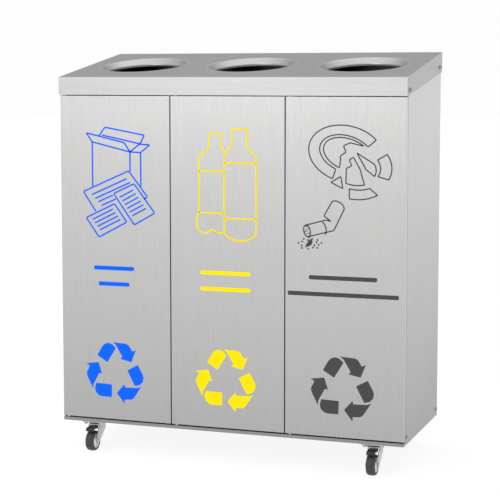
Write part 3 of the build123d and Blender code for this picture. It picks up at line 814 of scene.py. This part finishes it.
class STATION_OT_casters(bpy.types.Operator):
    """Replace the plain tyres, wheel cores and pedals with finer ones"""

    bl_idname = "station.casters"
    bl_label = "Casters"

    def execute(self, context):
        settings = context.scene.station_casters
        makers = {
            "tyre": (tyre_mesh, "tyre", "wheel"),
            "wheel_core": (core_mesh, "wheel_core", "wheel"),
            "brake_pedal": (pedal_mesh, "pedal", "brake"),
        }
        for caster in CASTERS:
            for ending, (maker, slot, body) in makers.items():
                if ending == "brake_pedal" and caster not in BRAKED:
                    continue
                node = caster + "_" + ending
                material = frame["nodes"][node].data.materials[0]
                mesh = maker(node, settings)
                made = piece("fine_" + node, mesh, material, caster + "_" + body)
                made.data.shade_smooth()
                made.data.set_sharp_from_angle(angle=math.radians(35))
                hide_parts(node)
        return {"FINISHED"}


class STATION_OT_graphics(bpy.types.Operator):
    """Lay the vinyl pictures, caption bars and arrows on the doors"""

    bl_idname = "station.graphics"
    bl_label = "Graphics"

    def execute(self, context):
        settings = context.scene.station_graphics
        film = settings.vinyl
        colours = (settings.paper, settings.plastic, settings.residual)
        for door, tone, bars in zip(DOORS, colours, CAPTION_WIDTHS):
            material = vinyl("vinyl_" + door, tone)
            arrows = patch_mesh(chasing_arrows(), film, 2.0)
            on_door(door, arrows, door + "_arrows", ARROWS_PLACE, film, material)
            caption = patch_mesh(caption_bars(bars), film, 3.6)
            on_door(door, caption, door + "_caption_bars", CAPTION_PLACE, film, material)
        pictures = (
            ("left", "paper_picture", paper_picture(), settings.paper_line, PAPER_PLACE),
            ("middle", "bottle_picture", bottle_picture(), settings.plastic_line, BOTTLE_PLACE),
            ("right", "plate_picture", plate_picture(), settings.residual_line, PLATE_PLACE),
            ("right", "stub_picture", stub_picture(), settings.residual_line, STUB_PLACE),
        )
        for door, name, lines, width, centre in pictures:
            material = bpy.data.materials["vinyl_" + door]
            on_door(door, stroke_mesh(lines, width, film), name, centre, film, material)
        ash = patch_mesh(ash_dots(), film)
        on_door("right", ash, "ash_dots", STUB_PLACE, film, bpy.data.materials["vinyl_right"])
        return {"FINISHED"}


class STATION_OT_studio(bpy.types.Operator):
    """Make the floor, the lights and the camera"""

    bl_idname = "station.studio"
    bl_label = "Studio"

    def execute(self, context):
        settings = context.scene.station_studio
        ground = bmesh.new()
        bmesh.ops.create_grid(ground, x_segments=1, y_segments=1, size=settings.floor_reach)
        data = bpy.data.meshes.new("studio_floor")
        ground.to_mesh(data)
        ground.free()
        floor = bpy.data.objects.new("studio_floor", data)
        context.scene.collection.objects.link(floor)
        paper = Finish(bpy.data.materials.new("floor_paper"))
        cloud = paper.noise(3.0)
        paper.set(
            Base_Color=paper.mix(cloud, shade(settings.floor, 0.99), shade(settings.floor, 1.01)),
            Roughness=0.9,
            Emission_Color=(1.0, 1.0, 1.0),
            Emission_Strength=settings.floor_glow,
        )
        data.materials.append(paper.data)

        context.scene.world = studio_world(settings)
        middle = (CAD_BOX[0] + CAD_BOX[1]) / 2
        studio_light("key_softbox", settings.key_place, middle, settings.key_size, settings.key_power)
        studio_light("top_softbox", settings.top_place, middle, settings.top_size, settings.top_power)

        lens = bpy.data.cameras.new("studio_camera")
        lens.sensor_fit = "HORIZONTAL"
        lens.sensor_width = 36.0
        lens.lens = settings.lens
        lens.shift_y = settings.shift
        lens.clip_start = 0.05
        lens.clip_end = 100.0
        camera = bpy.data.objects.new("studio_camera", lens)
        context.scene.collection.objects.link(camera)
        camera.location = settings.camera_place
        camera.rotation_euler = (math.pi / 2 - settings.camera_tilt, 0.0, settings.camera_turn)
        context.scene.camera = camera
        context.scene.view_settings.view_transform = "Standard"
        return {"FINISHED"}


class STATION_PT_panel(bpy.types.Panel):
    """Steps of the station's finish"""

    bl_idname = "STATION_PT_panel"
    bl_label = "Station"
    bl_space_type = "VIEW_3D"
    bl_region_type = "UI"
    bl_category = "Station"

    def draw(self, context):
        for operator in OPERATORS:
            self.layout.operator(operator.bl_idname)
        for group in GROUPS:
            settings = getattr(context.scene, group)
            for name in settings.bl_rna.properties.keys():
                if name not in ("rna_type", "name"):
                    self.layout.prop(settings, name)


GROUPS = {
    "station_finish": StationFinish,
    "station_casters": StationCasters,
    "station_graphics": StationGraphics,
    "station_studio": StationStudio,
}
OPERATORS = (STATION_OT_finishes, STATION_OT_casters, STATION_OT_graphics, STATION_OT_studio)
CLASSES = (*GROUPS.values(), *OPERATORS, STATION_PT_panel)


def register():
    for cls in CLASSES:
        bpy.utils.register_class(cls)
    for name, group in GROUPS.items():
        setattr(bpy.types.Scene, name, PointerProperty(type=group))


def unregister():
    for name in GROUPS:
        delattr(bpy.types.Scene, name)
    for cls in reversed(CLASSES):
        bpy.utils.unregister_class(cls)


def main():
    """Build everything in order."""
    register()
    bpy.ops.station.finishes()
    bpy.ops.station.casters()
    bpy.ops.station.graphics()
    bpy.ops.station.studio()


if __name__ == "__main__":
    main()
